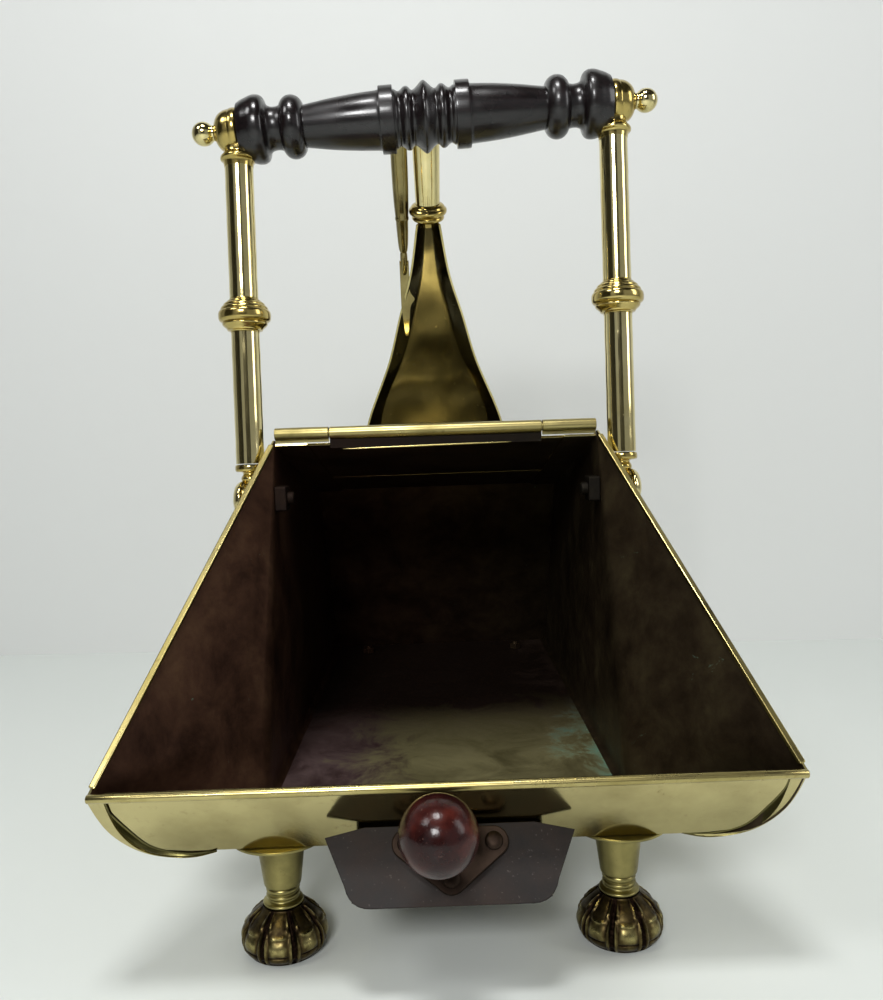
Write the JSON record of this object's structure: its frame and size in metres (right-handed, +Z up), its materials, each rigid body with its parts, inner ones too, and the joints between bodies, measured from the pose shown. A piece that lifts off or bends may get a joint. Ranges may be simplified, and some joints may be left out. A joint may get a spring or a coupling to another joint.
{
  "type": "coal scuttle",
  "caption": "Open-mouthed brass coal scuttle on ball feet, with a wood-gripped bail, hinged lid, slide-out dust tray with a ball knob, and a shovel standing in a shoe on its back.",
  "frame": {"origin": "middle of the footprint box, on the table plane under the feet", "axes": "+X to the viewer's right when facing the mouth, +Y from the mouth to the back, +Z up"},
  "size_m": [0.33, 0.4924, 0.4878],
  "materials": {
    "polished_brass": "polished, with rubbed marks and faint tarnish",
    "dulled_brass": "unpolished, dulled by handling",
    "tarnished_brass": "dark tarnish with verdigris spots",
    "cast_brass": "cast, darkened in the recesses",
    "japanned_steel": "glossy brown-black japanning",
    "dark_bronze": "dark bronzed, satin",
    "dark_steel": "oil-darkened",
    "ebonised_wood": "ebonised and polished",
    "varnished_wood": "red-brown varnish, worn"
  },
  "bodies": {
    "scuttle_body": {"back_panel": "polished_brass", "floor_panel": "tarnished_brass", "foot_cup_front_left": "polished_brass", "foot_cup_front_right": "polished_brass", "foot_cup_rear_left": "polished_brass", "foot_cup_rear_right": "polished_brass", "foot_dome_front_left": "cast_brass", "foot_dome_front_right": "cast_brass", "foot_dome_rear_left": "cast_brass", "foot_dome_rear_right": "cast_brass", "foot_stud_front_left": "dulled_brass", "foot_stud_front_right": "dulled_brass", "foot_stud_rear_left": "dulled_brass", "foot_stud_rear_right": "dulled_brass", "front_apron": "polished_brass", "hinge_knuckle_left": "dulled_brass", "hinge_knuckle_right": "dulled_brass", "hinge_pin": "dark_steel", "lip_bead": "polished_brass", "mouth_binding_left": "polished_brass", "mouth_binding_right": "polished_brass", "pivot_bolt_left": "polished_brass", "pivot_bolt_right": "polished_brass", "pivot_nut_left": "dulled_brass", "pivot_nut_right": "dulled_brass", "pivot_spacer_left": "dulled_brass", "pivot_spacer_right": "dulled_brass", "shovel_shoe": "polished_brass", "side_shell_left": "polished_brass", "side_shell_right": "polished_brass", "top_rear_panel": "polished_brass", "tray_runner_left": "dulled_brass", "tray_runner_right": "dulled_brass"},
    "lid": {"lid_knuckle": "dulled_brass", "lid_panel": "polished_brass"},
    "bail": {"bail_elbow_left": "polished_brass", "bail_elbow_right": "polished_brass", "bail_eye_left": "polished_brass", "bail_eye_right": "polished_brass", "bail_finial_left": "polished_brass", "bail_finial_right": "polished_brass", "bail_grip": "ebonised_wood", "bail_knop_left": "polished_brass", "bail_knop_right": "polished_brass", "bail_lower_tube_left": "polished_brass", "bail_lower_tube_right": "polished_brass", "bail_rod": "dark_steel", "bail_upper_tube_left": "polished_brass", "bail_upper_tube_right": "polished_brass"},
    "dust_tray": {"ball_knob": "varnished_wood", "knob_bracket": "dark_bronze", "knob_stem": "dark_bronze", "tray_front_plate": "japanned_steel", "tray_pan": "japanned_steel"},
    "shovel": {"shovel_blade": "polished_brass", "shovel_collar": "polished_brass", "shovel_handle": "polished_brass", "shovel_hook": "dulled_brass"}
  },
  "joints": [
    {"name": "bail_swing", "type": "hinge", "parent": "scuttle_body", "child": "bail", "pos_m": [0, -0.05284, 0.2266], "axis": [1, 0, 0], "range_deg": [-7, 14]},
    {"name": "lid_hinge", "type": "hinge", "parent": "scuttle_body", "child": "lid", "pos_m": [0, -0.04884, 0.2659], "axis": [1, 0, 0], "range_deg": [0, 105]},
    {"name": "tray_slide", "type": "slide", "parent": "scuttle_body", "child": "dust_tray", "axis": [0, -1, 0], "range_m": [0, 0.15]},
    {"name": "shovel_lift", "type": "slide", "parent": "scuttle_body", "child": "shovel", "axis": [0, -0.5169, 0.8561], "range_m": [0, 0.2]}
  ]
}
